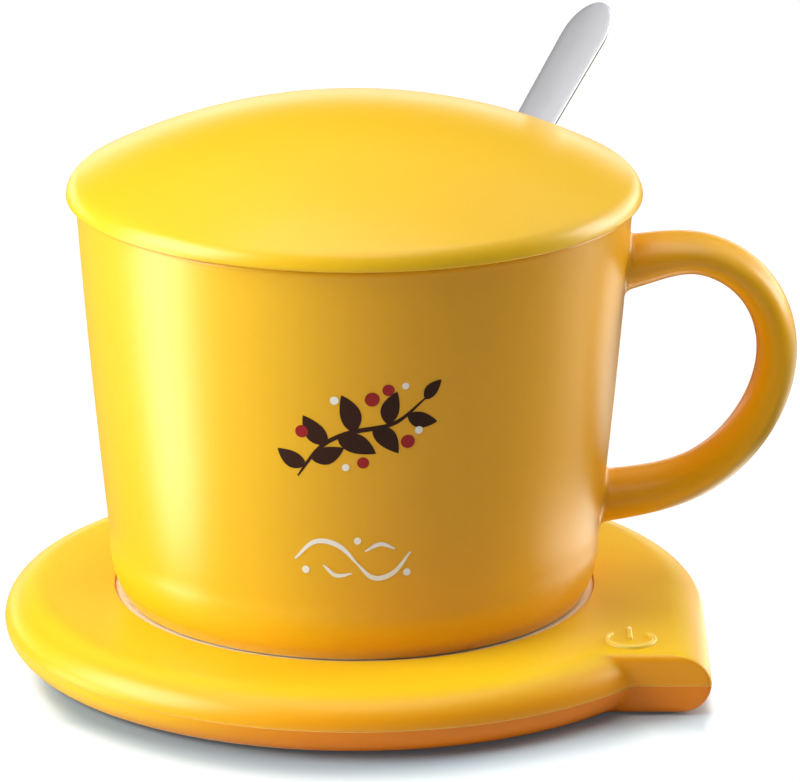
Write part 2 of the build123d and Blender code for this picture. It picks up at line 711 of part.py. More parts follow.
finish(spoon, "spoon")
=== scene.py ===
import math

import bpy
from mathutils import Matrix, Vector


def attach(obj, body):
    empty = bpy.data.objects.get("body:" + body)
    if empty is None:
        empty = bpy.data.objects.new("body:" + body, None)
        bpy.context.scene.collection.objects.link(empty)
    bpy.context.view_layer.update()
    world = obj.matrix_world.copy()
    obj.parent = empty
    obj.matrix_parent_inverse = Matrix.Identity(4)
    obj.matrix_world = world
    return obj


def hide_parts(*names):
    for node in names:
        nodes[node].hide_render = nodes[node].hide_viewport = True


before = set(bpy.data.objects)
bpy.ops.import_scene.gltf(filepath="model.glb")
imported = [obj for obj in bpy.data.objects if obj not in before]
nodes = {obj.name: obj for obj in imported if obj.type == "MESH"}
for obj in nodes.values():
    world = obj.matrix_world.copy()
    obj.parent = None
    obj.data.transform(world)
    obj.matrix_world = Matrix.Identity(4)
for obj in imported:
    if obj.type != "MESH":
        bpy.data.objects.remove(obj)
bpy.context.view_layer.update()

MM = 0.001
TURN_STEPS = 192
CREASE = 40  # degrees from which an edge stays sharp

# ---- sizes of the object, in millimetres ----
glaze_edge = 11.5  # lower edge of the mug's glaze
mug_floor = 16.5
rim_height = 88.3
rim_radius = 52.2
wall = 4.0
lip_round = 1.2
inner_round = 10.0

handle_points = [
    (48.7, 74.6), (64.5, 76.7), (75.6, 70.2), (79.7, 58.5), (76.6, 45.6), (65.0, 33.4), (44.7, 28.4)
]
handle_leaves = ((1, 0.12), (-1, -0.16))  # the strap's directions at its two ends
handle_thicks = (5.4, 3.8, 3.75, 3.8, 3.9, 4.1, 4.9)  # half the strap's thickness, end to end
handle_half_width = 6.5
root_radius = 1.3
root_bite = 0.03  # how far the flare's foot sinks into the side
root_depth = 1.2

lid_radius = 54.0
lid_rise = 16.8
lid_shoulder = 4.4
notch_azimuth = 46.6
notch_half = 6.0
notch_depth = 11.0
cutter_height, cutter_level = 40, 95
cutter_reach = 20  # past the notch's middle

spoon_lean = 44.1
spoon_reach = 47.57  # its middle line at the rim, out from the axis
spoon_level = 88.87
spoon_top = 32.84  # along the spoon, from the rim
spoon_thick = 1.0
spoon_corner = 0.34
neck_half, rim_half, end_half = 2.3, 5.0, 5.5  # half the handle's width at its neck, rim and end
end_length = 8.2
neck_lap = 4.6
blend_below, blend_above = 6, 10  # stretch round the neck where handle and bowl blend
bowl_middle = -78.16
bowl_half = 21.0
bowl_half_width = 14.5
bowl_depth = 6.5

base_radius = 66.7
parting = 5.9
top_height = 11.9
under_height = 0.4
low_reflection_height = 0.98  # height of the painted reflection, a pale line low on the left side
housing_wall = 1.8
tab_end = -42.7
tab_lean = 1.0
edge_run_top, edge_run_low = 7.6, 6.0  # how far the rounded edge runs in
end_round, end_round_inside = 1.4, 0.5
corner_round = 0.9
inner_blend = 2.0  # at the parting line, and this much more at the top
bead_out = 0.07
parting_step = 0.10
parting_round = 0.12
well_radius = 46.2
rim_inner = 45.75
well_round = 0.25
ledge_radius, ledge_low, ledge_high = 40.0, 8.0, 9.4
collar_radius, collar_high = 48.0, 10.0
floor_level = 2.2
floor_radius = 43.0
foot_groove = (45.4, 53.8)
foot_groove_top = 1.6
socket_level = 5.93
socket_half_height, socket_half_length = 1.72, 4.55
socket_front, socket_back = 61.0, 69.0

bead_bottom, bead_top = 10.62, 11.4
key_middle = (51.2, -34.5)
mark_radius, mark_half, mark_rise, mark_gap = 4.4, 0.55, 0.65, 48
print_lift, stroke_lift = 0.07, 0.06


# ---- helpers for making pieces ----
def deselect():
    if bpy.context.object and bpy.context.object.mode != "OBJECT":
        bpy.ops.object.mode_set(mode="OBJECT")
    bpy.ops.object.select_all(action="DESELECT")


def pick(piece):
    deselect()
    piece.select_set(True)
    bpy.context.view_layer.objects.active = piece


def name_piece(piece, name):
    piece.name = name
    piece.data.name = name
    return piece


def centre_of(ring):
    """A ring of one point, in the middle of another ring."""
    return [tuple(sum((Vector(p) for p in ring), Vector()) / len(ring))]


def from_rings(name, rings, closed=True):
    """A skin over rings that have equally many points; a ring of one point closes the end."""
    points, faces, starts = [], [], []
    for ring in rings:
        starts.append((len(points), len(ring)))
        points += [tuple(c * MM for c in p) for p in ring]
    for (a, count_a), (b, count_b) in zip(starts, starts[1:]):
        count = max(count_a, count_b)
        for i in range(count if closed else count - 1):
            j = (i + 1) % count
            if count_a == 1:
                faces.append((a, b + j, b + i))
            elif count_b == 1:
                faces.append((a + i, a + j, b))
            else:
                faces.append((a + i, a + j, b + j, b + i))
    mesh = bpy.data.meshes.new(name)
    mesh.from_pydata(points, [], faces)
    piece = bpy.data.objects.new(name, mesh)
    bpy.context.scene.collection.objects.link(piece)
    tidy_mesh(piece)
    return piece


def closed_ends(name, rings):
    """A skin over rings with a middle point at both ends."""
    return from_rings(name, [centre_of(rings[0])] + rings + [centre_of(rings[-1])])


def tidy_mesh(piece, distance=0.002):
    pick(piece)
    bpy.ops.object.mode_set(mode="EDIT")
    bpy.ops.mesh.select_all(action="SELECT")
    bpy.ops.mesh.remove_doubles(threshold=distance * MM)
    bpy.ops.mesh.normals_make_consistent(inside=False)
    bpy.ops.object.mode_set(mode="OBJECT")


def smooth(piece, degrees=CREASE):
    pick(piece)
    bpy.ops.object.shade_smooth_by_angle(angle=math.radians(degrees))


def turned(name, profile, steps=TURN_STEPS):
    """A profile of (radius, height), drawn from one vertex and spun round the axis."""
    deselect()
    bpy.ops.mesh.primitive_plane_add(size=MM, location=(profile[0][0] * MM, 0, profile[0][1] * MM))
    piece = bpy.context.object
    bpy.ops.object.transform_apply(location=True, rotation=True, scale=True)
    bpy.ops.object.mode_set(mode="EDIT")
    bpy.ops.mesh.select_all(action="SELECT")
    bpy.ops.mesh.merge(type="CENTER")
    for before, after in zip(profile, profile[1:]):
        step = ((after[0] - before[0]) * MM, 0, (after[1] - before[1]) * MM)
        bpy.ops.mesh.extrude_vertices_move(TRANSFORM_OT_translate={"value": step})
    bpy.ops.mesh.select_all(action="SELECT")
    bpy.ops.mesh.spin(steps=steps, angle=math.tau, center=(0, 0, 0), axis=(0, 0, 1))
    bpy.ops.object.mode_set(mode="OBJECT")
    name_piece(piece, name)
    tidy_mesh(piece)
    return piece


def combine(piece, other, operation):
    """Exact Boolean of piece with other, which is used up."""
    joint = piece.modifiers.new("combine", "BOOLEAN")
    joint.operation = operation
    joint.solver = "EXACT"
    joint.object = other
    pick(piece)
    bpy.ops.object.modifier_apply(modifier=joint.name)
    bpy.data.objects.remove(other, do_unlink=True)
    tidy_mesh(piece)


def arc(middle, radius, start, end, count):
    """Points on an arc in a plane, angles in degrees."""
    points = []
    for i in range(count + 1):
        angle = math.radians(start + (end - start) * i / count)
        points.append((middle[0] + radius * math.cos(angle), middle[1] + radius * math.sin(angle)))
    return points


def arc_through(a, b, c, count):
    """Points on the arc from a over b to c."""
    (ax, ay), (bx, by), (cx, cy) = a, b, c
    d = 2 * (ax * (by - cy) + bx * (cy - ay) + cx * (ay - by))
    aa, bb, cc = ax * ax + ay * ay, bx * bx + by * by, cx * cx + cy * cy
    mx = (aa * (by - cy) + bb * (cy - ay) + cc * (ay - by)) / d
    my = (aa * (cx - bx) + bb * (ax - cx) + cc * (bx - ax)) / d
    radius = math.hypot(ax - mx, ay - my)
    start, middle, end = [math.degrees(math.atan2(y - my, x - mx)) for x, y in (a, b, c)]
    sweep = (end - start) % 360
    if (middle - start) % 360 > sweep:
        sweep -= 360
    return arc((mx, my), radius, start, start + sweep, count)


def clamped_spline(points, first, last, per_run):
    """Points on a smooth curve through points, with given directions at its ends."""
    lengths = [(Vector(b) - Vector(a)).length for a, b in zip(points, points[1:])]
    count = len(points)
    slopes = [[0.0] * len(points[0]) for _ in points]
    for axis in range(len(points[0])):
        lower, middle, upper, right = [0.0] * count, [1.0] * count, [0.0] * count, [0.0] * count
        right[0], right[-1] = first[axis], last[axis]
        for i in range(1, count - 1):
            h0, h1 = lengths[i - 1], lengths[i]
            lower[i], middle[i], upper[i] = h1, 2 * (h0 + h1), h0
            before = (points[i][axis] - points[i - 1][axis]) / h0
            after = (points[i + 1][axis] - points[i][axis]) / h1
            right[i] = 3 * (h1 * before + h0 * after)
        for i in range(1, count):
            share = lower[i] / middle[i - 1]
            middle[i] -= share * upper[i - 1]
            right[i] -= share * right[i - 1]
        slopes[-1][axis] = right[-1] / middle[-1]
        for i in range(count - 2, -1, -1):
            slopes[i][axis] = (right[i] - upper[i] * slopes[i + 1][axis]) / middle[i]
    result = []
    for i, h in enumerate(lengths):
        for k in range(per_run):
            t = k / per_run
            a, b = 2 * t**3 - 3 * t**2 + 1, (t**3 - 2 * t**2 + t) * h
            c, d = -2 * t**3 + 3 * t**2, (t**3 - t**2) * h
            runs = zip(points[i], slopes[i], points[i + 1], slopes[i + 1])
            result.append(Vector(a * p + b * m + c * q + d * n for p, m, q, n in runs))
    result.append(Vector(points[-1]))
    return result


# ---- camera ----
camera_tilt = 17.55  # degrees that it looks down
camera_data = bpy.data.cameras.new("camera")
camera_data.lens = 256.8
camera_data.sensor_width = 36
camera_data.shift_x = 0.0571
camera_data.shift_y = 0.0284
camera = bpy.data.objects.new("camera", camera_data)
camera.location = (0, -1.0307, 0.3710)
camera.rotation_euler = (math.radians(90 - camera_tilt), 0, 0)
bpy.context.scene.collection.objects.link(camera)
bpy.context.scene.camera = camera

# ---- mug: turned body ----
side_low = (46.5, 22.0)
side = arc_through(side_low, (48.8, 45.5), (rim_radius, rim_height), 36)


def side_radius(height):
    """Outer radius of the mug's side at a height."""
    if height <= side[0][1]:
        return side[0][0]
    for (r0, z0), (r1, z1) in zip(side, side[1:]):
        if height <= z1:
            return r0 + (r1 - r0) * (height - z0) / (z1 - z0)
    return side[-1][0]


inner_wall = arc_through((42.445, 25.455), (44.8, 45.5), (rim_radius - wall, rim_height), 24)
mug_profile = (
    [(0, glaze_edge), (20, glaze_edge), (36.4, glaze_edge)]
    + arc((37.1, 11.0), 0.4, 180, 270, 4)
    + arc((42.8, 11.0), 0.4, 270, 360, 4)
    + [(43.2, 11.35), (43.35, glaze_edge)]
    + arc((43.85, 11.85), 0.35, 270, 350, 4)
    + arc_through((44.25, 12.0), (45.7, 15.2), side_low, 12)[1:]
    + side[1:-1]
    + [(rim_radius - 0.05, rim_height - lip_round - 0.3)]
    + arc((rim_radius - lip_round, rim_height - lip_round), lip_round, 0, 90, 8)
    + arc((rim_radius - wall + lip_round, rim_height - lip_round), lip_round, 90, 180, 8)
    + inner_wall[::-1][1:-1]
    + arc((32.5, mug_floor + inner_round), inner_round, -6, -90, 10)
    + [(24, mug_floor), (12, mug_floor), (0, mug_floor)]
)
mug_body = turned("mug_body", mug_profile)

# ---- mug: handle, with a flared root at each end ----
RING_COUNT = 48
ROOT_STEPS = 9
handle_ends = [tuple(Vector(leave).normalized()) for leave in handle_leaves]
handle_line = clamped_spline(handle_points, *handle_ends, 24)
thick_line = clamped_spline([(float(i), t) for i, t in enumerate(handle_thicks)], (1, -1.0), (1, 0.4), 24)


def square_to(line, index):
    """Direction square to a line in its plane, at one of its points."""
    before, after = Vector(line[max(index - 1, 0)]), Vector(line[min(index + 1, len(line) - 1)])
    along = (after - before).normalized()
    return Vector((-along.y, along.x))


def handle_ring(index):
    """The strap's elliptical section at one step of its line."""
    point = handle_line[index]
    across = square_to(handle_line, index)
    ring = []
    for k in range(RING_COUNT):
        angle = math.tau * k / RING_COUNT
        offset = across * (thick_line[index][1] * math.sin(angle))
        ring.append(Vector((point.x + offset.x, handle_half_width * math.cos(angle), point.y + offset.y)))
    return ring


def outside_side(p):
    """How far a point lies outside the mug's side."""
    return math.hypot(p.x, p.y) - side_radius(p.z)


def root_rows(rings):
    """Rows of the flare from the strap down to the side: rings run from inside the wall outwards."""
    rows = [[] for _ in range(ROOT_STEPS + 1)]
    clear = 0
    middles = [sum(ring, Vector()) / RING_COUNT for ring in rings]
    for k in range(RING_COUNT):
        rail = [ring[k] for ring in rings]
        reaches = [outside_side(p) for p in rail]
        for row in range(ROOT_STEPS + 1):
            turn = math.radians(90 * row / ROOT_STEPS)
            height = root_radius * (1 - math.sin(turn))
            spread = root_radius * (1 - math.cos(turn))
            step = next(i for i, reach in enumerate(reaches) if reach > height)
            share = (height - reaches[step - 1]) / (reaches[step] - reaches[step - 1])
            point = rail[step - 1].lerp(rail[step], share)
            middle = middles[step - 1].lerp(middles[step], share)
            if row == 0:
                clear = max(clear, step)
            point = point + (point - middle).normalized() * spread
            reach = outside_side(point)
            flat = Vector((point.x, point.y, 0)).normalized()
            rows[row].append(point - flat * (reach - height + root_bite))
    sunk = [p - Vector((p.x, p.y, 0)).normalized() * root_depth for p in rows[-1]]
    return [sunk] + rows[::-1], clear


handle_rings = [handle_ring(i) for i in range(len(handle_line))]
upper_root, upper_clear = root_rows(handle_rings)
lower_root, lower_clear = root_rows(handle_rings[::-1])
strap = handle_rings[upper_clear + 1 : len(handle_rings) - lower_clear - 1]
handle = closed_ends("mug_handle", upper_root + strap + lower_root[::-1])
combine(mug_body, handle, "UNION")
smooth(mug_body)
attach(mug_body, "mug")
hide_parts("mug")

# ---- lid ----
shoulder_middle = lid_radius - lid_shoulder
dome_radius = (shoulder_middle**2 + lid_rise**2 - lid_shoulder**2) / (2 * (lid_rise - lid_shoulder))
dome_middle = lid_rise - dome_radius
shoulder_angle = math.degrees(math.atan2(shoulder_middle, -dome_middle))
lid_profile = (
    arc((0, dome_middle), dome_radius, 90, 90 - shoulder_angle, 40)
    + arc((shoulder_middle, 0), lid_shoulder, 90 - shoulder_angle, 7, 14)[1:]
    + arc((lid_radius - 0.45, 0.4), 0.4, 0, -90, 4)
    + [(52.8, 0.03), (50.5, 0.04), (47.9, 0.04), (47.4, -0.4)]
    + arc((46.9, -3.5), 0.5, 0, -90, 4)
    + arc((44.1, -3.5), 0.5, 270, 180, 4)
    + [(43.6, -0.4)]
    + arc_through((43.2, 0.5), (22, 9.6), (0, 12.6), 20)
)
lid = turned("lid_dome", [(r, z + rim_height) for r, z in lid_profile])

# the notch's cutter: half a cylinder, drawn out past the lid's edge and turned to its place
notch_turn = math.radians(notch_azimuth)
bpy.ops.mesh.primitive_cylinder_add(vertices=64, radius=notch_half * MM, depth=cutter_height * MM)
notch = bpy.context.object
for vertex in notch.data.vertices:
    if vertex.co.x > 1e-6:
        vertex.co.x += cutter_reach * MM
for vertex in notch.data.vertices:
    x, y = vertex.co.x + (lid_radius - notch_depth) * MM, vertex.co.y
    vertex.co.x = x * math.cos(notch_turn) - y * math.sin(notch_turn)
    vertex.co.y = x * math.sin(notch_turn) + y * math.cos(notch_turn)
    vertex.co.z += cutter_level * MM
combine(lid, notch, "DIFFERENCE")
smooth(lid)
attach(lid, "lid")
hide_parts("lid")

# ---- spoon ----
lean = math.radians(spoon_lean)
outward = Vector((math.cos(notch_turn), math.sin(notch_turn), 0))
spoon_along = outward * math.sin(lean) + Vector((0, 0, math.cos(lean)))
spoon_across = outward.cross(Vector((0, 0, 1)))
spoon_up = outward * -math.cos(lean) + Vector((0, 0, math.sin(lean)))
spoon_middle = outward * spoon_reach + Vector((0, 0, spoon_level))
neck = bowl_middle + bowl_half - neck_lap


def spoon_width(s, bowl_share):
    """Half the spoon's width: its handle, its rounded end and its bowl, blended at the neck."""
    handle_width = neck_half + (rim_half - neck_half) * min(max((s - neck) / -neck, 0), 1)
    if s > 0:
        handle_width = rim_half + (end_half - rim_half) * s / (spoon_top - end_length)
    if s > spoon_top - end_length:
        handle_width = end_half * max(1 - ((s - spoon_top + end_length) / end_length) ** 2.1, 0) ** 0.5
    bowl_width = bowl_half_width * bowl_share
    if neck - blend_below < s < neck + blend_above:
        return (handle_width**4 + bowl_width**4) ** 0.25
    return max(handle_width if s > neck else 0, bowl_width)


def spoon_ring(s):
    """The spoon's section at s millimetres above the mug's rim, measured along it."""
    along_bowl = (s - bowl_middle) / bowl_half
    bowl_share = math.sqrt(max(1 - along_bowl**2, 0)) if along_bowl < 1 else 0
    width = spoon_width(s, bowl_share)
    half = spoon_thick / 2
    corner = max(min(spoon_corner, width * 0.6, half * 0.94), 0.004)
    flat_x = max(width - corner, 0)
    section = []
    for sign_x, sign_up, start in ((1, 1, 0), (-1, 1, 90), (-1, -1, 180), (1, -1, 270)):
        middle = (sign_x * flat_x, sign_up * (half - corner))
        section += arc(middle, corner, start, start + 90, 5)
        if start in (0, 180):
            section += [(sign_x * flat_x * (1 - 2 * k / 8), sign_up * half) for k in range(1, 8)]
    ring = []
    for x, up in section:
        share = min(abs(x) / width, 1) if width > 1e-6 else 0
        dish = -bowl_depth * bowl_share * math.sqrt(max(1 - share**2, 0))
        ring.append(tuple(spoon_middle + spoon_along * s + spoon_across * x + spoon_up * (up + dish)))
    return ring


END_STEPS, BOWL_STEPS = 12, 40
stations = [spoon_top - 0.02]
for k in range(1, END_STEPS + 1):
    stations.append(spoon_top - end_length * (1 - math.sin(math.radians(90 * (END_STEPS - k) / END_STEPS))))
position = spoon_top - 10
while position > bowl_middle + bowl_half + 6:
    stations.append(position)
    position -= 4
for k in range(BOWL_STEPS + 1):
    stations.append(bowl_middle + bowl_half * math.cos(math.radians(180 * k / BOWL_STEPS)) * 0.9995)
stations = sorted(set(round(s, 4) for s in stations), reverse=True)
spoon = closed_ends("spoon_steel", [spoon_ring(s) for s in stations])
smooth(spoon)
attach(spoon, "spoon")
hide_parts("spoon")


# ---- housings: rounded disc with a flat-ended tab ----
def outline(inset, end, corner, blend, height):
    """The housing's outline at one height: disc, soft inner corner, flat end, outer corner, side."""
    radius = base_radius - inset
    lean_angle = math.radians(tab_lean)
    joint = Vector((radius * math.cos(lean_angle), -radius * math.sin(lean_angle)))
    down = Vector((-math.sin(lean_angle), -math.cos(lean_angle)))
    blend_y = end - blend
    blend_x = math.sqrt((radius + blend) ** 2 - blend_y**2)
    disc_end = math.degrees(math.atan2(blend_y, blend_x))
    points = arc((0, 0), radius, -tab_lean, 360 + disc_end, 180)
    points += arc((blend_x, blend_y), blend, disc_end + 180, 90, 8)[1:]
    opening = math.radians(90 - tab_lean)
    side_end = joint + down * ((end - joint.y) / down.y)
    corner_x = side_end.x - corner / math.tan(opening / 2)
    points += [(blend_x + (corner_x - blend_x) * k / 8, end) for k in range(1, 8)]
    points += arc((corner_x, end + corner), corner, 270, 360 - tab_lean, 8)
    last = Vector(points[-1])
    points += [tuple(last.lerp(joint, k / 10)) for k in range(1, 10)]
    return [(x, y, height) for x, y in points]


def round_ring(radius, height, like):
    """A circle whose points lie at the same angles as those of another ring."""
    angles = [math.atan2(p[1], p[0]) for p in like]
    return [(radius * math.cos(angle), radius * math.sin(angle), height) for angle in angles]


def end_inset(height, rise, rounding):
    """How far the flat end has rounded back at a height from the parting line."""
    over = height - (rise - rounding)
    return rounding - math.sqrt(max(rounding**2 - over**2, 0)) if over > 0 else 0.0


def shell(run, rise, direction, inset, rounding):
    """Outlines from the parting line to the flat top or underside, over a quarter ellipse."""
    rings = []
    for angle in (0, 3, 7, 12, 18, 24, 30, 36, 42, 48, 54, 60, 66, 71, 75, 79, 82, 85, 87.5, 90):
        a = math.radians(angle)
        height = rise * math.sin(a)
        end = tab_end + inset + end_inset(height, rise, rounding)
        corner = corner_round + (0.6 if angle > 70 else 0)
        blend = inner_blend + inner_blend * height / rise
        level = parting + direction * height
        rings.append(outline(inset + run * (1 - math.cos(a)), end, corner, blend, level))
    return rings


def parting_ring(inset, height):
    """An outline near the parting line."""
    return outline(inset, tab_end + inset, corner_round, inner_blend, parting + height)


edge_ring = parting_ring(parting_step, parting_step)
rise_top, rise_low = top_height - parting, parting - under_height
outer_top = shell(edge_run_top, rise_top, 1, 0, end_round)
outer_top[0] = [(x, y, parting + parting_round) for x, y, z in outer_top[0]]
inner_top = shell(edge_run_top - housing_wall, rise_top - housing_wall, 1, housing_wall, end_round_inside)
flat_top = outer_top[-1]
top_rings = [edge_ring] + outer_top
for r, z in arc((rim_inner + well_round, top_height - well_round), well_round, 90, 180, 5):
    top_rings.append(round_ring(r, z, flat_top))
for r, z in (
    (rim_inner, 10.95),
    (well_radius, 10.9),
    (well_radius, 9.45),
    (ledge_radius, ledge_high),
    (ledge_radius, ledge_low),
    (collar_radius, ledge_low),
    (collar_radius, collar_high),
):
    top_rings.append(round_ring(r, z, flat_top))
top = from_rings("housing_top", top_rings + inner_top[::-1] + [edge_ring])

outer_low = shell(edge_run_low, rise_low, -1, 0, end_round)
parting_bead = [parting_ring(-bead_out, height) for height in (0.02, -0.04)]
outer_low[:1] = parting_bead + [parting_ring(0, -parting_round)]
inner_low = shell(edge_run_low - housing_wall, rise_low - housing_wall, -1, housing_wall, end_round_inside)
flat_low = outer_low[-1]
low_rings = [[(0, 0, floor_level)], round_ring(floor_radius, floor_level, flat_low)]
low_rings += inner_low[::-1] + [edge_ring] + outer_low
for r, z in (
    (foot_groove[1], under_height),
    (foot_groove[1] - 0.1, foot_groove_top),
    (foot_groove[0] + 0.1, foot_groove_top),
    (foot_groove[0], under_height),
):
    low_rings.append(round_ring(r, z, flat_low))
low = from_rings("housing_low", low_rings + [[(0, 0, under_height)]])


def socket_cutter():
    """A slot with round ends through the rear of the housing, for the power socket."""
    ring = []
    for side_sign, start in ((1, -90), (-1, 90)):
        middle = (side_sign * (socket_half_length - socket_half_height), 0)
        ring += arc(middle, socket_half_height, start, start + 180, 12)
    rings = [[(x, y, z + socket_level) for x, z in ring] for y in (socket_front, socket_back)]
    ends = [[(0, y, socket_level)] for y in (socket_front, socket_back)]
    return from_rings("socket_cutter", [ends[0]] + rings + [ends[1]])


for housing in (top, low):
    combine(housing, socket_cutter(), "DIFFERENCE")
    smooth(housing)
    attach(housing, "base")
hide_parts("top_housing")
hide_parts("bottom_housing")

# ---- soft bead of the seal, standing in the gap round the mug's foot ----
bead_edge = rim_inner - 0.04
bead_profile = (
    [(bead_edge, bead_bottom), (bead_edge, 11.1), (bead_edge - 0.07, 11.25), (bead_edge - 0.25, 11.36)]
    + [(45.1, bead_top), (44.8, bead_top), (44.5, 11.36), (44.2, 11.3), (43.9, 11.25), (43.6, 11.2)]
    + [(43.44, 11.1), (43.4, 11.0), (43.4, bead_bottom), (bead_edge, bead_bottom)]
)
bead = turned("seal_bead", bead_profile)
smooth(bead)
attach(bead, "base")


# ---- raised standby mark on the touch key ----
def ridge(name, line):
    """A low rounded ridge that follows a line on the housing's flat top."""
    rings = []
    for i, p in enumerate(line):
        across = square_to(line, i)
        taper = 0.75 if i in (0, len(line) - 1) else 1
        ring = []
        for k in range(9):
            angle = math.radians(180 * k / 8)
            offset = across * (mark_half * taper * math.cos(angle))
            rise = mark_rise * taper * math.sin(angle) ** 0.7
            ring.append((p[0] + offset.x, p[1] + offset.y, top_height + rise))
        ring += [(x, y, top_height - 0.1) for x, y, z in (ring[8], ring[0])]
        rings.append(ring)
    return closed_ends(name, rings)


mark_ring = ridge("mark_ring", arc(key_middle, mark_radius, 90 + mark_gap, 450 - mark_gap, 48))
bar_line = [(key_middle[0], key_middle[1] + t) for t in (0.2, 0.5, 1.5, 3.0, 4.5, 5.7, 6.0)]
mark_bar = ridge("mark_bar", bar_line)
for mark in (mark_ring, mark_bar):
    smooth(mark, 50)
    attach(mark, "base")


# ---- ornament on the mug: a sprig with leaves and berries, and a flourish below ----
def on_side(across, height, lift=print_lift):
    """A place on the mug's side from the distance round it and the height."""
    radius = side_radius(height) + lift
    angle = across / 50.0 - math.pi / 2
    return (radius * math.cos(angle), radius * math.sin(angle), height)


def leaf(start, direction, length, width, bend):
    """A pointed leaf lying on the side."""
    along = Vector((math.cos(math.radians(direction)), math.sin(math.radians(direction))))
    across = Vector((-along.y, along.x))
    rings = []
    for i in range(13):
        t = i / 12
        middle = Vector(start) + along * (length * t) + across * (bend * length * t * (1 - t))
        half = max(width / 2 * math.sin(math.pi * t**0.8) ** 0.85, 0.02)
        rings.append([on_side(*(middle + across * (half * s))) for s in (-1, -0.5, 0, 0.5, 1)])
    return from_rings("leaf", rings, closed=False)


def dot(middle, radius):
    """A round berry or spot lying on the side."""
    rings = [[on_side(*middle)]]
    for share in (0.5, 1.0):
        circle = arc(middle, radius * share, 0, 345, 23)
        rings.append([on_side(across, height) for across, height in circle])
    return from_rings("dot", rings)


def stroke(points, width):
    """A painted stroke that swells in its middle."""
    ends = [Vector(b) - Vector(a) for a, b in (points[:2], points[-2:])]
    line = clamped_spline(points, *[tuple(end.normalized()) for end in ends], 10)
    rings = []
    for i, p in enumerate(line):
        across = square_to(line, i)
        half = width / 2 * (0.35 + 0.65 * math.sin(math.pi * i / (len(line) - 1)))
        rings.append([on_side(*(p + across * (half * s)), stroke_lift) for s in (-1, 0, 1)])
    return from_rings("stroke", rings, closed=False)


def merge_pieces(name, parts):
    deselect()
    for part in parts:
        part.select_set(True)
    bpy.context.view_layer.objects.active = parts[0]
    bpy.ops.object.join()
    return name_piece(parts[0], name)


stem_points = [(-10.5, 48.5), (-6.5, 54.0), (0.5, 57.5), (7.5, 59.0), (13.0, 63.5)]
leaves = (
    ((-9.0, 50.6), 150, 6.0, 3.2, 0.25),
    ((-8.0, 52.0), 20, 6.5, 3.4, -0.25),
    ((-5.0, 54.8), 128, 7.0, 3.6, 0.2),
    ((-3.0, 55.9), -22, 7.5, 3.8, 0.25),
    ((0.0, 57.3), 108, 7.5, 3.8, -0.2),
    ((3.4, 58.2), -48, 7.0, 3.6, 0.25),
    ((6.0, 58.7), 75, 6.5, 3.4, 0.2),
    ((9.6, 60.2), -15, 5.8, 3.0, -0.2),
    ((12.8, 63.2), 50, 4.6, 2.4, 0.2),
)
berries = (
    ((3.2, 63.6), 1.35), ((6.1, 65.3), 1.1), ((-9.6, 57.2), 1.2), ((9.8, 55.2), 1.3), ((1.6, 51.3), 1.1)
)
spots_above = (((-3.6, 63.4), 0.8), ((11.8, 57.3), 0.75), ((-1.6, 50.4), 0.7), ((9.2, 66.0), 0.65))
curls = (
    ([(-11.5, 32.0), (-7.5, 35.6), (-2.5, 34.6), (0.5, 31.4)], 1.0),
    ([(0.5, 31.4), (3.5, 28.6), (7.5, 29.4), (10.8, 33.4)], 1.0),
    ([(-6.0, 31.0), (-3.5, 29.0), (-0.5, 29.4)], 0.8),
    ([(2.0, 33.8), (5.0, 35.2), (7.8, 34.2)], 0.8),
)
spots_below = (((-9.4, 30.0), 0.75), ((10.2, 29.4), 0.75), ((0.6, 35.9), 0.7))
sprig_leaves = merge_pieces("sprig_leaves", [stroke(stem_points, 0.9)] + [leaf(*one) for one in leaves])
sprig_berries = merge_pieces("sprig_berries", [dot(*one) for one in berries])
white_parts = [dot(*one) for one in spots_above] + [stroke(*one) for one in curls]
white_ornament = merge_pieces("white_ornament", white_parts + [dot(*one) for one in spots_below])
for ornament in (sprig_leaves, sprig_berries, white_ornament):
    smooth(ornament, 60)
    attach(ornament, "mug")


# ---- helpers for materials ----
def feed(tree, entry, value):
    """Gives an input its value: a socket, a colour of three numbers, or a number."""
    if isinstance(value, bpy.types.NodeSocket):
        tree.links.new(value, entry)
    else:
        entry.default_value = (*value, 1) if isinstance(value, tuple) else value


def fill(tree, node, **values):
    """Gives a node its settings and inputs; an input's name has _ for each space."""
    for key, value in values.items():
        if hasattr(node, key):
            setattr(node, key, value)
        else:
            feed(tree, node.inputs[key.replace("_", " ")], value)
    return node


def put(tree, kind, **values):
    return fill(tree, tree.nodes.new(kind), **values)


def use(tree, group, **values):
    """A shared node group, with its own values."""
    return put(tree, "ShaderNodeGroup", node_tree=group, **values)


def calculate(tree, operation, *values):
    """A Math node; numbers and sockets both do as inputs."""
    node = put(tree, "ShaderNodeMath", operation=operation)
    for entry, value in zip(node.inputs, values):
        feed(tree, entry, value)
    return node.outputs[0]


def times(tree, first, *others):
    for other in others:
        first = calculate(tree, "MULTIPLY", first, other)
    return first


def summed(tree, total, *parts):
    """Adds to a total, each part given as (value, factor)."""
    for value, factor in parts:
        total = calculate(tree, "MULTIPLY_ADD", value, factor, total)
    return total


def soft_step(tree, value, start, end):
    """A smooth rise from 0 at start to 1 at end, which may also lie below start."""
    step = put(tree, "ShaderNodeMapRange", interpolation_type="SMOOTHSTEP", From_Min=start, From_Max=end)
    return fill(tree, step, Value=value).outputs[0]


def steps(tree, *spans):
    """Product of soft steps, each given as (value, start, end)."""
    return times(tree, *[soft_step(tree, *span) for span in spans])


def far_from(tree, first, second):
    """Length of two distances at right angles."""
    return calculate(tree, "SQRT", calculate(tree, "MULTIPLY_ADD", second, second, times(tree, first, first)))


def away_from(tree, value, middle):
    return calculate(tree, "ABSOLUTE", calculate(tree, "SUBTRACT", value, middle))


def object_vector(tree):
    return put(tree, "ShaderNodeTexCoord").outputs["Object"]


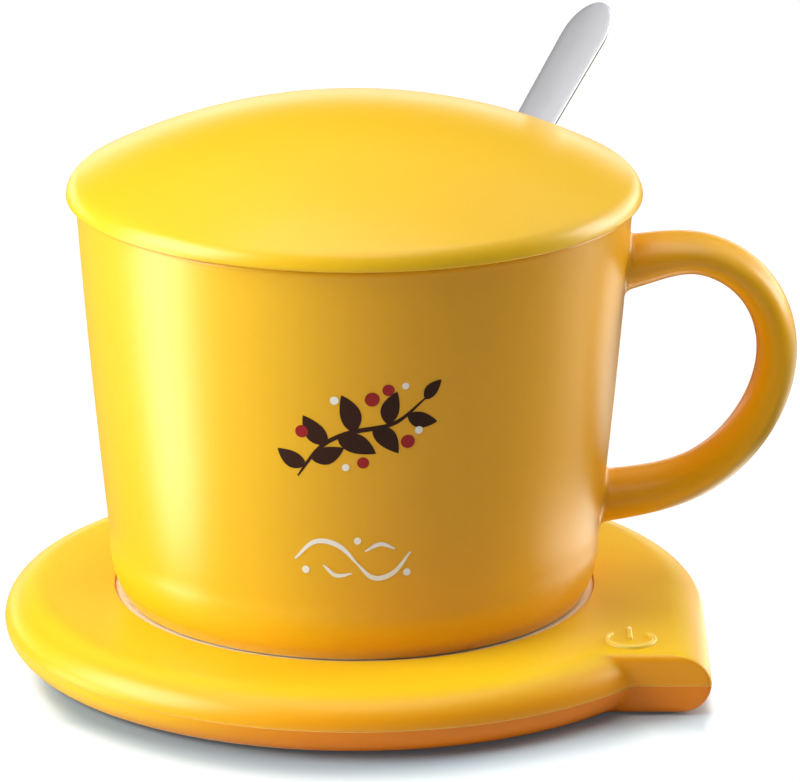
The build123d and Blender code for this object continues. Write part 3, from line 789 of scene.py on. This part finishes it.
def split(tree, vector):
    return list(put(tree, "ShaderNodeSeparateXYZ", Vector=vector).outputs)


def facing(tree):
    """The three parts of the surface's normal."""
    return split(tree, put(tree, "ShaderNodeNewGeometry").outputs["Normal"])


def along_axis(tree, axis):
    """Distance along an axis through the origin."""
    node = put(tree, "ShaderNodeVectorMath", operation="DOT_PRODUCT")
    feed(tree, node.inputs[0], object_vector(tree))
    feed(tree, node.inputs[1], axis)
    return node.outputs["Value"]


def mix_colour(tree, share, first, second):
    """Mixes two colours, given as tuples or sockets, by a share."""
    node = put(tree, "ShaderNodeMix", data_type="RGBA")
    for index, value in ((0, share), (6, first), (7, second)):
        feed(tree, node.inputs[index], value)
    return node.outputs[2]


def layered(tree, shade, *coats):
    """Colours laid over a first one, each given as (share, colour)."""
    for share, colour in coats:
        shade = mix_colour(tree, share, shade, colour)
    return shade


# ---- shared node groups ----
def new_group(name, inputs, outputs):
    group = bpy.data.node_groups.new(name, "ShaderNodeTree")
    for label, value in inputs:
        socket = group.interface.new_socket(label, in_out="INPUT", socket_type="NodeSocketFloat")
        socket.default_value = value
    for label in outputs:
        group.interface.new_socket(label, in_out="OUTPUT", socket_type="NodeSocketFloat")
    return group, group.nodes.new("NodeGroupInput").outputs, group.nodes.new("NodeGroupOutput")


def noise(tree, **values):
    return put(tree, "ShaderNodeTexNoise", **values).outputs[0]


mottle_group, given, result = new_group("mottle", [("Scale", 60.0), ("Contrast", 1.0)], ["Value"])
place = object_vector(mottle_group)
clouds = noise(mottle_group, Vector=place, Scale=given["Scale"], Detail=5.0, Roughness=0.55)
centred = calculate(mottle_group, "SUBTRACT", clouds, 0.5)
fill(mottle_group, result, Value=summed(mottle_group, 0.5, (centred, given["Contrast"])))

peel_group, given, result = new_group("orange_peel", [("Scale", 700.0), ("Fine", 0.35)], ["Height"])
place = object_vector(peel_group)
wide = noise(peel_group, Vector=place, Scale=given["Scale"], Detail=1.5)
fine = noise(peel_group, Vector=place, Scale=times(peel_group, given["Scale"], 4.3), Detail=2.0)
fill(peel_group, result, Height=summed(peel_group, wide, (fine, given["Fine"])))

edge_group, given, result = new_group("worn_edge", [("Start", 0.51), ("End", 0.58)], ["Edge"])
sharpness = put(edge_group, "ShaderNodeNewGeometry").outputs["Pointiness"]
ramp = put(edge_group, "ShaderNodeMapRange", Value=sharpness, From_Min=given["Start"], From_Max=given["End"])
patches = noise(edge_group, Vector=object_vector(edge_group), Scale=220.0, Detail=3.0)
fill(edge_group, result, Edge=times(edge_group, ramp.outputs[0], patches))

rings_group, given, result = new_group("turned_rings", [("Pitch", 0.00035)], ["Height", "Value"])
ring_x, ring_y, _ = split(rings_group, object_vector(rings_group))
ring_reach = far_from(rings_group, ring_x, ring_y)
turns = calculate(rings_group, "DIVIDE", ring_reach, given["Pitch"])
wave = calculate(rings_group, "SINE", times(rings_group, turns, math.tau))
streaks = noise(rings_group, noise_dimensions="1D", W=ring_reach, Scale=1400.0, Detail=4.0)
fill(rings_group, result, Height=summed(rings_group, streaks, (wave, 0.3)), Value=streaks)

grain_group, given, result = new_group("brushed_grain", [("Along", 60.0), ("Across", 4000.0)], ["Value"])
joined = put(grain_group, "ShaderNodeCombineXYZ")
for entry, axis, pitch in ((0, spoon_along, "Along"), (1, spoon_across, "Across")):
    feed(grain_group, joined.inputs[entry], times(grain_group, along_axis(grain_group, axis), given[pitch]))
fill(grain_group, result, Value=noise(grain_group, Vector=joined.outputs[0], Scale=1.0, Detail=3.0))


# ---- materials ----
def new_material(name):
    material = bpy.data.materials.new(name)
    material.use_nodes = True
    return material, material.node_tree, material.node_tree.nodes["Principled BSDF"]


def bump(tree, height, strength, distance=0.0001):
    return put(tree, "ShaderNodeBump", Height=height, Strength=strength, Distance=distance).outputs[0]


def peel_bump(tree, scale, strength):
    """The fine orange peel of a moulded, glazed or cast surface."""
    return bump(tree, use(tree, peel_group, Scale=scale).outputs[0], strength)


def mottled(tree, scale, colour, other):
    """Two close colours in a fine mottle; the mottle itself is given back too."""
    mottle = use(tree, mottle_group, Scale=scale, Contrast=1.6).outputs[0]
    return mix_colour(tree, mottle, colour, other), mottle


def worn(tree, share):
    return times(tree, use(tree, edge_group).outputs[0], share)


def surface(name, colour, other, rough, scale, relief, peel=700.0, rough_spread=0.06, metal=0.0, edge=None):
    """A moulded, glazed or cast surface: mottled colour, fine relief, and worn edges as (share, colour)."""
    material, tree, shader = new_material(name)
    shade, mottle = mottled(tree, scale, colour, other)
    if edge:
        shade = mix_colour(tree, worn(tree, edge[0]), shade, edge[1])
    roughness = calculate(tree, "MULTIPLY_ADD", mottle, rough_spread, rough - rough_spread / 2)
    normal = peel_bump(tree, peel, relief)
    fill(tree, shader, Base_Color=shade, Roughness=roughness, Metallic=metal, Normal=normal)
    return material


def turned_from_light(tree, left=(-0.65, 0.05), up=(0.92, 0.35), front=(0.4, -0.2)):
    """Share by which a face looks away from the left, from above and from behind."""
    to_x, to_y, to_z = facing(tree)
    return steps(tree, (to_x, *left), (to_y, *front), (to_z, *up))


def housing_plastic(name, colour, other, side_shade_colour, turned_shade_colour, left_lit_colour):
    """Moulded plastic with painted light and shade: deeper colours where it turns from above and from the
    lamps, a lighter one where it faces left, a painted highlight along the parting line and a painted
    reflection low on the left side.
    """
    material, tree, shader = new_material(name)
    shade, mottle = mottled(tree, 55.0, colour, other)
    to_x, _, to_z = facing(tree)
    level = split(tree, object_vector(tree))[2]
    to_left = soft_step(tree, to_x, -0.30, -0.75)
    not_left = calculate(tree, "SUBTRACT", 1.0, to_left)
    # painted highlight: a pale line along the parting line, left out on faces turned to the left
    parting_highlight = soft_step(tree, away_from(tree, level, parting * MM), 0.00016, 0.00006)
    parting_highlight = times(tree, parting_highlight, not_left, 0.75)
    # painted reflection: a pale line low on the side, on faces turned to the left, where the white floor
    # would shine
    from_under = away_from(tree, level, low_reflection_height * MM)
    low_reflection = steps(tree, (from_under, 0.00044, 0.00020), (to_x, 0.0, -0.15))
    # painted light and shade: deeper colours on the sides and on faces turned from the lamps, a lighter
    # colour on faces turned to the left, toward the key lamp
    shade = layered(
        tree,
        shade,
        (soft_step(tree, to_z, 0.98, 0.78), side_shade_colour),
        (turned_from_light(tree), turned_shade_colour),
        (to_left, left_lit_colour),
        (worn(tree, 0.4), (0.96, 0.64, 0.10)),
        (parting_highlight, (1.0, 0.60, 0.13)),
        (low_reflection, (1.0, 0.90, 0.72)),
    )
    roughness = summed(tree, 0.33, (mottle, 0.06))
    fill(tree, shader, Base_Color=shade, Roughness=roughness, Normal=peel_bump(tree, 900.0, 0.09))
    fill(tree, shader, Specular_IOR_Level=0.45)
    return material


def mug_outside():
    """Yellow glaze with a cream lip and an unglazed foot behind uneven glaze lines, with painted shade on
    faces turned from the lamps and on the handle, and a painted shadow line under the lip.
    """
    material, tree, shader = new_material("mug_glaze")
    x, _, z = split(tree, object_vector(tree))
    to_x, _, to_z = facing(tree)
    shade, mottle = mottled(tree, 38.0, (0.93, 0.535, 0.006), (0.915, 0.51, 0.006))
    wobble = use(tree, mottle_group, Scale=130.0, Contrast=1.0).outputs[0]
    uneven = summed(tree, z, (wobble, 0.0007))
    lip = soft_step(tree, uneven, 0.08842, 0.08862)
    # painted shadow: a darker line just under the cream lip, where the lid sits on the rim
    rim_shadow_line = times(tree, soft_step(tree, uneven, 0.08785, 0.08825), 0.45)
    foot = soft_step(tree, uneven, 0.01210, 0.01195)
    # painted shade: a darker, more orange glaze on faces turned from the lamps
    mug_turned_shade = turned_from_light(tree, left=(-0.45, 0.25), up=(2.0, 1.0), front=(1.0, 0.2))
    # painted shade: the handle's glaze a little darker and more orange
    handle_shade = times(tree, soft_step(tree, x, 0.050, 0.062), 0.8)
    low_handle = steps(tree, (x, 0.053, 0.064), (z, 0.076, 0.060))
    out_and_down = calculate(tree, "SUBTRACT", to_x, to_z)
    # painted shade: the outer, downward faces of the lower handle are coloured dark
    handle_underside_shade = times(tree, soft_step(tree, out_and_down, 0.35, 1.05), low_handle, 0.75)
    shade = layered(
        tree,
        shade,
        (mug_turned_shade, (0.90, 0.432, 0.003)),
        (handle_shade, (0.95, 0.475, 0.008)),
        (handle_underside_shade, (0.38, 0.215, 0.006)),
        (rim_shadow_line, (0.50, 0.22, 0.02)),
        (lip, (0.86, 0.76, 0.58)),
        (foot, (0.80, 0.66, 0.48)),
    )
    roughness = summed(tree, 0.29, (mottle, 0.06), (foot, 0.4))
    fill(tree, shader, Base_Color=shade, Roughness=roughness, Normal=peel_bump(tree, 420.0, 0.06))
    coat = summed(tree, 0.3, (low_handle, -0.28))
    specular = summed(tree, 0.42, (low_handle, -0.27))
    fill(tree, shader, Coat_Weight=coat, Coat_Roughness=0.45, Specular_IOR_Level=specular)
    return material


def satin_steel():
    """Steel of the spoon: a fine grain along it, with painted shade that makes it darker on one side and
    paler on the other.
    """
    material, tree, shader = new_material("satin_steel")
    grain = use(tree, grain_group, Along=90.0, Across=5200.0).outputs[0]
    cloud = use(tree, mottle_group, Scale=70.0, Contrast=1.0).outputs[0]
    shade_across = calculate(tree, "MULTIPLY_ADD", cloud, 0.004, along_axis(tree, spoon_across))
    # painted shade: darker towards one side of the spoon, paler towards the other
    shade = mix_colour(tree, soft_step(tree, shade_across, -0.0030, 0.0060), (0.55, 0.55, 0.575), (0.82, 0.82, 0.85))
    shade = mix_colour(tree, times(tree, grain, 0.25), shade, (0.88, 0.88, 0.90))
    roughness = summed(tree, 0.28, (grain, 0.10))
    normal = bump(tree, grain, 0.10, 0.00004)
    fill(tree, shader, Base_Color=shade, Roughness=roughness, Metallic=1.0, Normal=normal)
    return material


def turned_aluminium():
    """Aluminium of the heating plate, with the fine rings of the lathe."""
    material, tree, shader = new_material("turned_aluminium")
    rings = use(tree, rings_group).outputs
    shade = mix_colour(tree, rings["Value"], (0.60, 0.60, 0.60), (0.74, 0.74, 0.73))
    roughness = summed(tree, 0.25, (rings["Value"], 0.2))
    normal = bump(tree, rings["Height"], 0.35, 0.00005)
    fill(tree, shader, Base_Color=shade, Roughness=roughness, Metallic=1.0, Normal=normal)
    return material


glaze = surface(
    "yellow_glaze", (0.93, 0.555, 0.012), (0.915, 0.53, 0.010), 0.32, 38.0, 0.06, 420.0,
    edge=(0.35, (0.95, 0.60, 0.08)),
)
mug_glaze = mug_outside()
cream = surface("cream_glaze", (0.83, 0.74, 0.58), (0.80, 0.70, 0.52), 0.34, 45.0, 0.05, 420.0)
plastic = housing_plastic(
    "yellow_plastic", (0.93, 0.605, 0.014), (0.92, 0.58, 0.012),
    side_shade_colour=(0.93, 0.49, 0.004), turned_shade_colour=(0.98, 0.385, 0.002), left_lit_colour=(0.93, 0.53, 0.010),
)
# the lower housing: the same yellow plastic painted darker and more orange, as painted shade
shaded_low_plastic = housing_plastic(
    "yellow_plastic_painted_shade", (0.93, 0.50, 0.004), (0.91, 0.47, 0.004),
    side_shade_colour=(0.92, 0.43, 0.002), turned_shade_colour=(0.95, 0.27, 0.001), left_lit_colour=(0.93, 0.58, 0.012),
)
# the raised mark: the housing's plastic painted lighter, as a painted highlight
mark_plastic_painted_highlight = surface("mark_plastic_painted_highlight", (0.98, 0.74, 0.12), (0.96, 0.70, 0.10), 0.20, 55.0, 0.05, 900.0)
silicone = surface("cream_silicone", (0.92, 0.82, 0.62), (0.88, 0.77, 0.57), 0.62, 90.0, 0.12, 1500.0)
foot_rubber = surface("foot_rubber", (0.34, 0.32, 0.28), (0.30, 0.28, 0.25), 0.75, 120.0, 0.2, 1800.0)
brown_print = surface("brown_print", (0.060, 0.018, 0.008), (0.045, 0.014, 0.007), 0.42, 160.0, 0.05)
red_print = surface("red_print", (0.44, 0.010, 0.010), (0.38, 0.008, 0.008), 0.40, 160.0, 0.05)
white_print = surface("white_print", (0.95, 0.92, 0.83), (0.92, 0.88, 0.78), 0.40, 160.0, 0.05)
steel = satin_steel()
aluminium = turned_aluminium()
zinc = surface(
    "zinc_steel", (0.48, 0.49, 0.50), (0.58, 0.58, 0.56), 0.34, 420.0, 0.12, 2200.0,
    rough_spread=0.16, metal=1.0, edge=(0.6, (0.75, 0.75, 0.75)),
)
film = surface("amber_film", (0.50, 0.20, 0.03), (0.42, 0.16, 0.02), 0.3, 300.0, 0.1, 1800.0)
mica = surface(
    "mica_sheet", (0.62, 0.58, 0.50), (0.50, 0.46, 0.38), 0.5, 900.0, 0.25, 1500.0, rough_spread=0.3
)
board = surface(
    "green_board", (0.012, 0.12, 0.035), (0.02, 0.16, 0.05), 0.36, 700.0, 0.15, 2500.0,
    edge=(0.5, (0.35, 0.30, 0.15)),
)
black_epoxy = surface("black_epoxy", (0.018, 0.018, 0.02), (0.03, 0.03, 0.032), 0.48, 900.0, 0.2, 3000.0)
nylon = surface("white_nylon", (0.78, 0.75, 0.66), (0.74, 0.70, 0.60), 0.45, 300.0, 0.12, 2000.0)
red_cover = surface("red_insulation", (0.50, 0.02, 0.015), (0.44, 0.015, 0.012), 0.35, 400.0, 0.1, 2600.0)
pale_cover = surface("pale_insulation", (0.70, 0.68, 0.62), (0.64, 0.62, 0.56), 0.38, 400.0, 0.1, 2600.0)


# ---- which piece has which material ----
def paint(material, *pieces):
    for piece in pieces:
        piece.data.materials.clear()
        piece.data.materials.append(material)


def line_inside(piece, material, is_inside):
    """Gives a second material to the faces that a test on height, reach and normal picks."""
    piece.data.materials.append(material)
    for face in piece.data.polygons:
        middle = face.center
        if is_inside(middle.z / MM, math.hypot(middle.x, middle.y) / MM, face.normal.z):
            face.material_index = 1


def paint_nodes(material, *node_names):
    """CAD nodes get their finish through their material slots."""
    for piece in [nodes[name] for name in node_names]:
        if not piece.material_slots:
            piece.data.materials.append(material)
        for entry in piece.material_slots:
            entry.link = "OBJECT"
            entry.material = material


paint(mug_glaze, mug_body)
paint(glaze, lid)
paint(steel, spoon)
paint(silicone, bead)
paint(plastic, top)
paint(shaded_low_plastic, low)
paint(mark_plastic_painted_highlight, mark_ring, mark_bar)
paint(brown_print, sprig_leaves)
paint(red_print, sprig_berries)
paint(white_print, white_ornament)
line_inside(mug_body, cream, lambda z, reach, _: z > mug_floor - 0.5 and reach < side_radius(z) - 2.2)
line_inside(lid, cream, lambda z, reach, up: (up < -0.02 or z < rim_height - 0.2) and reach < lid_radius - 1)

paint_nodes(mug_glaze, "mug")
paint_nodes(glaze, "lid")
paint_nodes(steel, "spoon")
paint_nodes(plastic, "top_housing")
paint_nodes(shaded_low_plastic, "bottom_housing")
paint_nodes(silicone, "plate_seal")
paint_nodes(foot_rubber, "foot_ring")
paint_nodes(aluminium, "heating_plate")
paint_nodes(film, "heater_element")
paint_nodes(mica, "heater_insulator")
paint_nodes(zinc, "heater_bracket", "thermal_fuse", "touch_spring", "inlet_socket")
paint_nodes(zinc, "bracket_screws", "board_screws", "housing_screws")
paint_nodes(board, "control_board", "inlet_board")
paint_nodes(black_epoxy, "temperature_sensor", "controller_chip", "power_transistor", "socket_tongue")
paint_nodes(nylon, "sensor_connector")
paint_nodes(red_cover, "power_leads", "heater_leads")
paint_nodes(pale_cover, "sensor_leads")

# ---- floor ----
deselect()
bpy.ops.mesh.primitive_plane_add(size=8.0, location=(0, 0, 0))
floor = name_piece(bpy.context.object, "floor")
floor_material, tree, shader = new_material("pale_floor")
tree.nodes.remove(shader)
rays = put(tree, "ShaderNodeLightPath").outputs
x, y, _ = split(tree, object_vector(tree))


def beyond(value, middle, half):
    """How far a coordinate lies outside a span."""
    over = calculate(tree, "SUBTRACT", away_from(tree, value, middle * MM), half * MM)
    return calculate(tree, "MAXIMUM", over, 0.0)


def angle_round(x, y):
    """Angle round a place on the floor: 0 in front of it, positive to the right."""
    return calculate(tree, "ARCTAN2", x, times(tree, y, -1.0))


def sector(angle, *turns):
    """A sector with soft sides, which rises between two angles and falls between two others, in degrees."""
    start, full, fall, end = [math.radians(turn) for turn in turns]
    rising, falling = soft_step(tree, angle, start, full), soft_step(tree, angle, fall, end)
    return calculate(tree, "SUBTRACT", rising, falling)


def mix_shaders(share, first, second):
    node = put(tree, "ShaderNodeMixShader")
    for entry, socket in zip(node.inputs, (share, first, second)):
        feed(tree, entry, socket)
    return node.outputs[0]


# distance from the housing's outline, and the same stretched where the shadow is narrower
reach = far_from(tree, x, y)
disc_gap = calculate(tree, "SUBTRACT", reach, base_radius * MM)
tab_gap = far_from(tree, beyond(x, 50.0, 15.9), beyond(y, -20.0, 22.7))
gap = calculate(tree, "MINIMUM", disc_gap, tab_gap)
right_of = calculate(tree, "MAXIMUM", calculate(tree, "SUBTRACT", x, 64 * MM), 0.0)
right_of = times(tree, right_of, soft_step(tree, y, 0.085, 0.060))
behind_left = calculate(tree, "MAXIMUM", calculate(tree, "ADD", y, 46 * MM), 0.0)
behind_left = times(tree, behind_left, soft_step(tree, x, -20 * MM, -45 * MM))
shadow_gap = summed(tree, gap, (right_of, 5.0), (behind_left, 0.27))
left_share = calculate(tree, "DIVIDE", calculate(tree, "MINIMUM", x, 0.0), base_radius * MM)
left_stretch = calculate(tree, "MULTIPLY_ADD", times(tree, left_share, left_share), 2.0, 1.0)
shadow_gap = times(tree, shadow_gap, left_stretch)

# painted shadow: the floor is coloured dark bluish close to the housing, over its real shadow, and fades to
# white; a faint bluish glow lifts the darkest part
dark_shade = mix_colour(tree, soft_step(tree, x, 0.010, 0.045), (0.28, 0.35, 0.40), (0.50, 0.58, 0.63))
near_shade = mix_colour(tree, soft_step(tree, shadow_gap, -0.002, 0.018), dark_shade, (0.88, 0.98, 1.0))
near = put(tree, "ShaderNodeBsdfDiffuse", Color=near_shade).outputs[0]
lifted = put(tree, "ShaderNodeEmission", Color=(0.75, 0.9, 1.0), Strength=0.045).outputs[0]
near_sum = put(tree, "ShaderNodeAddShader")
for entry, socket in zip(near_sum.inputs, (near, lifted)):
    feed(tree, entry, socket)
matt = put(tree, "ShaderNodeBsdfDiffuse", Color=(0.64, 0.64, 0.64)).outputs[0]
white = put(tree, "ShaderNodeEmission", Color=(1, 1, 1), Strength=1.05).outputs[0]

# soft cards on the floor that only the object's reflections see
left_card_shift = 0.035
left_angle = angle_round(*[calculate(tree, "ADD", value, left_card_shift) for value in (x, y)])
side_angle = angle_round(x, y)
left_card = times(tree, sector(left_angle, -110, -94, -80, -64), soft_step(tree, gap, 0.008, 0.055))
rear_card = times(tree, sector(side_angle, 70, 115, 124, 150), soft_step(tree, reach, 0.12, 0.16))
tab_card = times(tree, sector(side_angle, 65, 86, 112, 128), soft_step(tree, reach, 0.125, 0.098))
left_rear_card = soft_step(tree, side_angle, math.radians(-90), math.radians(-125))
cards = summed(tree, 0.03, (left_card, 9.0), (rear_card, 2.3), (tab_card, 3.6), (left_rear_card, 0.2))
card_colour = mix_colour(tree, soft_step(tree, x, 0.0, 0.05), (1.0, 1.0, 1.0), (1.0, 0.95, 0.76))
shine = put(tree, "ShaderNodeEmission", Color=card_colour, Strength=cards).outputs[0]
near_end = put(tree, "ShaderNodeMapRange", Value=gap, From_Min=0.0, From_Max=0.018).outputs[0]

seen = mix_shaders(rays["Is Camera Ray"], matt, near_sum.outputs[0])
chosen = mix_shaders(times(tree, near_end, rays["Is Glossy Ray"]), seen, shine)
to_white = times(tree, soft_step(tree, shadow_gap, 0.005, 0.0175), rays["Is Camera Ray"])
fill(tree, tree.nodes["Material Output"], Surface=mix_shaders(to_white, chosen, white))
paint(floor_material, floor)

# ---- background: white to the camera, with soft glows that only reflections see ----
world = bpy.data.worlds.new("studio")
bpy.context.scene.world = world
world.use_nodes = True
tree = world.node_tree
rays = put(tree, "ShaderNodeLightPath").outputs
glossy = rays["Is Glossy Ray"]
x, y, z = split(tree, put(tree, "ShaderNodeTexCoord").outputs["Generated"])
rear_glow = times(tree, glossy, steps(tree, (y, 0.45, 0.80), (z, 0.16, 0.02)))
sky_glow = times(tree, glossy, soft_step(tree, z, 0.45, 0.75))
right_glow = times(tree, glossy, steps(tree, (x, 0.40, 0.62), (y, 0.25, 0.50), (z, 0.42, 0.22)))
seen_white = (rays["Is Camera Ray"], 0.91)
glows = summed(tree, 0.09, seen_white, (rear_glow, 3.0), (sky_glow, 0.50), (right_glow, 2.6))
fill(tree, tree.nodes["Background"], Color=(1, 1, 1), Strength=glows)

# ---- lamps ----
lamp_aim = Vector((0, 0, 0.05))


def lamp(name, azimuth, elevation, distance, size, brightness):
    """A soft rectangular lamp; azimuth 0 is in front, positive to the right."""
    data = bpy.data.lights.new(name, "AREA")
    data.shape = "RECTANGLE"
    data.size, data.size_y = size
    data.energy = brightness * math.pi * size[0] * size[1]
    a, e = math.radians(azimuth), math.radians(elevation)
    direction = Vector((math.sin(a) * math.cos(e), -math.cos(a) * math.cos(e), math.sin(e)))
    light = bpy.data.objects.new(name, data)
    light.location = lamp_aim + direction * distance
    light.rotation_mode = "QUATERNION"
    light.rotation_quaternion = direction.to_track_quat("Z", "Y")
    bpy.context.scene.collection.objects.link(light)
    return light


lamp("overhead", -20, 86, 1.1, (1.0, 1.0), 2.05)
lamp("key", -74, 25, 0.62, (0.45, 0.42), 8.4)
lamp("rim", 110, 16, 0.8, (0.30, 0.42), 7.0)
right_rear = lamp("right_rear", 132, 36, 1.0, (0.70, 0.70), 3.0)
right_rear.visible_glossy = False

bpy.context.scene.view_settings.view_transform = "Standard"
